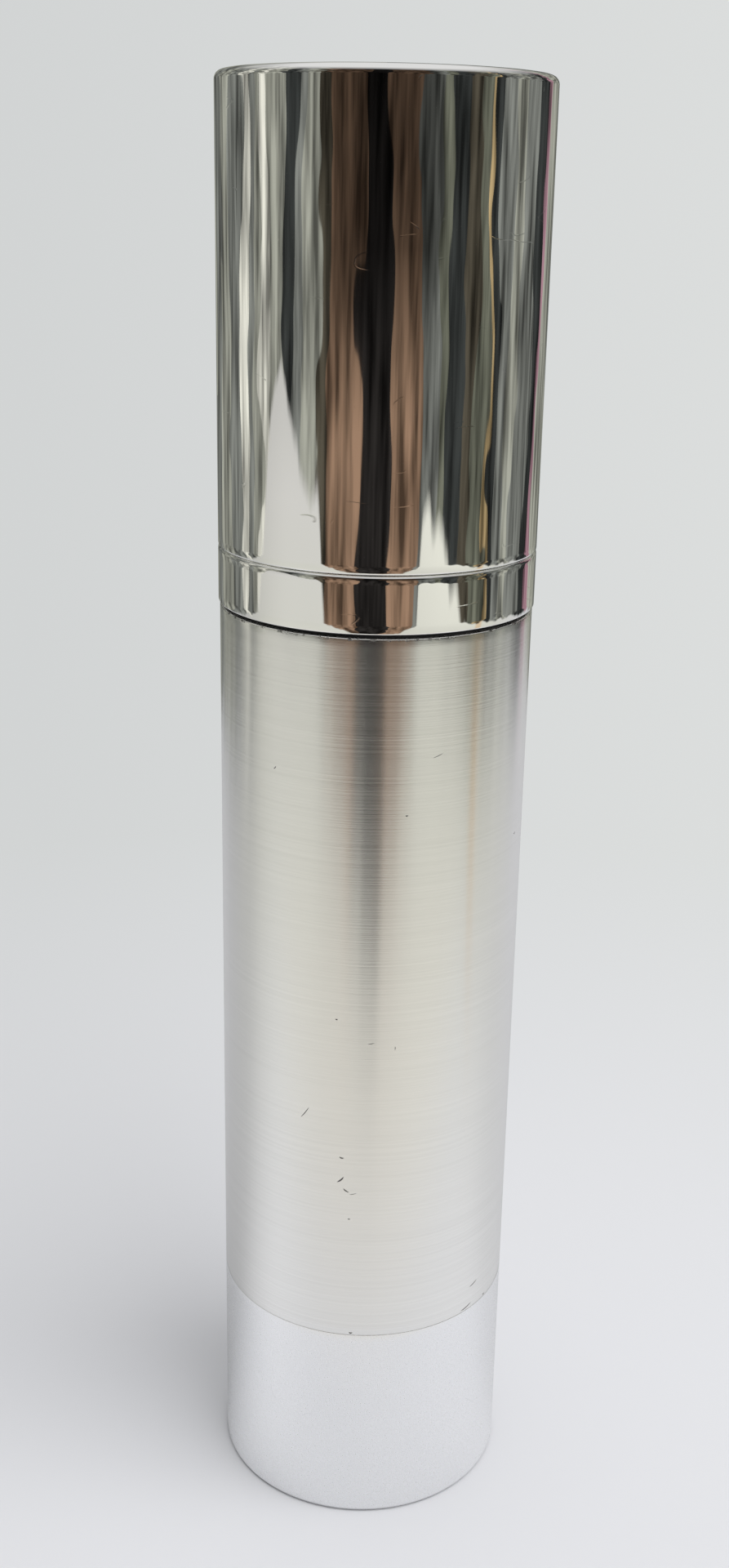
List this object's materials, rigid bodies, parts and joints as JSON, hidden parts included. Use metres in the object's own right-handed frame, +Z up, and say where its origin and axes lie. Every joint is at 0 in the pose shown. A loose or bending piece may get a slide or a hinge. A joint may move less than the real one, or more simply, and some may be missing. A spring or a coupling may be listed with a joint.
{
  "type": "airless pump bottle",
  "caption": "Slim cylindrical airless pump bottle: bright overcap and collar, brushed sleeve, satin base, spring-return dosing pump and rising follower piston.",
  "frame": {"origin": "middle of the foot, on the surface that the bottle stands on", "axes": "+Z up the bottle's axis, the pump's outlet faces -Y"},
  "size_m": [0.0282, 0.0282, 0.1328],
  "materials": {
    "bright_metal": "bright polished, clear anodised",
    "brushed_metal": "brushed round the body, clear anodised",
    "satin_metal": "fine blasted satin, clear anodised",
    "natural_plastic": "natural moulded polypropylene",
    "white_plastic": "white moulded polypropylene",
    "soft_plastic": "soft moulded polyethylene",
    "dark_plastic": "dark moulded polypropylene",
    "gasket_foam": "closed-cell foam washer",
    "spring_steel": "bright drawn stainless wire",
    "ball_steel": "polished stainless ball"
  },
  "bodies": {
    "bottle": {"base_shell": "satin_metal", "base_plug": "natural_plastic", "reservoir": "natural_plastic", "outer_sleeve": "brushed_metal", "collar_shell": "bright_metal", "closure_ring": "dark_plastic", "neck_gasket": "gasket_foam", "pump_housing": "natural_plastic", "ball_cage": "natural_plastic", "stem_guide": "white_plastic", "return_spring": "spring_steel"},
    "overcap": {"overcap_shell": "bright_metal", "overcap_liner": "natural_plastic"},
    "pump_stem": {"stem": "white_plastic", "valve_plug": "white_plastic"},
    "pump_head": {"actuator_shell": "bright_metal", "actuator_core": "white_plastic", "nozzle_insert": "white_plastic"},
    "dose_piston": {"pump_piston": "soft_plastic"},
    "follower": {"follower_piston": "soft_plastic"},
    "check_ball": {"inlet_ball": "ball_steel"}
  },
  "joints": [
    {"name": "overcap_lift", "type": "slide", "parent": "bottle", "child": "overcap", "axis": [0, 0, 1], "range_m": [0, 0.045]},
    {"name": "pump_press", "type": "slide", "parent": "bottle", "child": "pump_stem", "axis": [0, 0, -1], "range_m": [0, 0.005], "stiffness_N_per_m": 1200, "springref_m": -0.001, "deforming": ["return_spring"]},
    {"name": "head_turn", "type": "hinge", "parent": "pump_stem", "child": "pump_head", "pos_m": [0, 0, 0.1], "axis": [0, 0, 1], "continuous": true},
    {"name": "piston_follow", "type": "slide", "parent": "bottle", "child": "dose_piston", "axis": [0, 0, -1], "range_m": [0, 0.0042]},
    {"name": "follower_rise", "type": "slide", "parent": "bottle", "child": "follower", "axis": [0, 0, 1], "range_m": [0, 0.058]},
    {"name": "inlet_ball_lift", "type": "slide", "parent": "bottle", "child": "check_ball", "axis": [0, 0, 1], "range_m": [0, 0.0008]}
  ],
  "couplings": [
    {"joint": "piston_follow", "follows": "pump_press", "ratio": 0.84}
  ]
}
